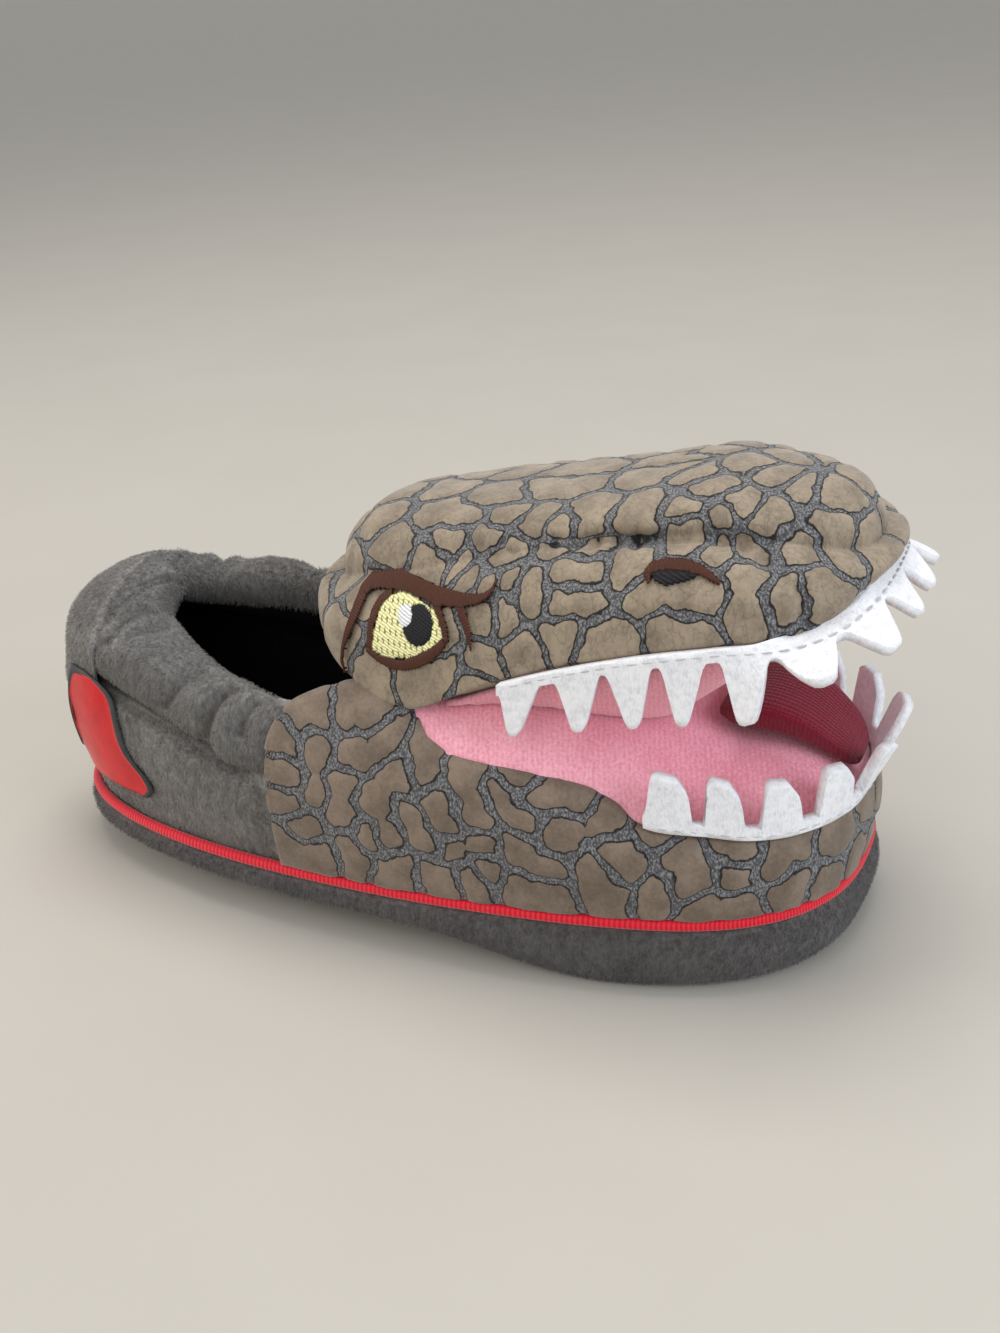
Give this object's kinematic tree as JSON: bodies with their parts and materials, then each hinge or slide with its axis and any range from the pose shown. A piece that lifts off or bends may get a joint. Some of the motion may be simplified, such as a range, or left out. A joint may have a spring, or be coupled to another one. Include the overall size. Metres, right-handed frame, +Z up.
{
  "type": "plush slipper",
  "caption": "Child's plush slipper whose front is an open-mouthed stuffed reptile head with felt teeth, with a padded collar and a soft flat sole.",
  "frame": {"origin": "on the floor under the middle of the sole", "axes": "+X from heel to toe, -Y to the outer side of the right foot, +Z up"},
  "size_m": [0.2233, 0.093, 0.1094],
  "materials": {
    "grey_plush": "short grey plush over foam",
    "upper_plush": "short grey plush on a padded lining",
    "collar_plush": "gathered grey plush roll",
    "black_fleece": "black fleece lining",
    "piping_red": "woven red cord",
    "scale_cloth": "plush with matt printed scales",
    "head_cloth": "plush with matt printed scales over soft stuffing",
    "pink_felt": "pink knitted fleece",
    "tongue_cord": "dark red ribbed cloth",
    "white_felt": "white felt",
    "patch_red": "soft moulded patch with no mark on it",
    "eye_thread": "satin stitched thread",
    "nostril_thread": "satin stitched thread"
  },
  "bodies": {
    "root": {"sole": "grey_plush", "insole": "black_fleece", "piping": "piping_red", "upper": "upper_plush", "collar": "collar_plush", "jaw_panel": "scale_cloth", "mouth_floor": "pink_felt", "head": "head_cloth", "mouth_roof": "pink_felt", "eye_right": "eye_thread", "eye_left": "eye_thread", "nostril_right": "nostril_thread", "nostril_left": "nostril_thread", "tongue": "tongue_cord", "upper_teeth": "white_felt", "lower_teeth": "white_felt", "heel_patch": "patch_red"}
  },
  "joints": []
}
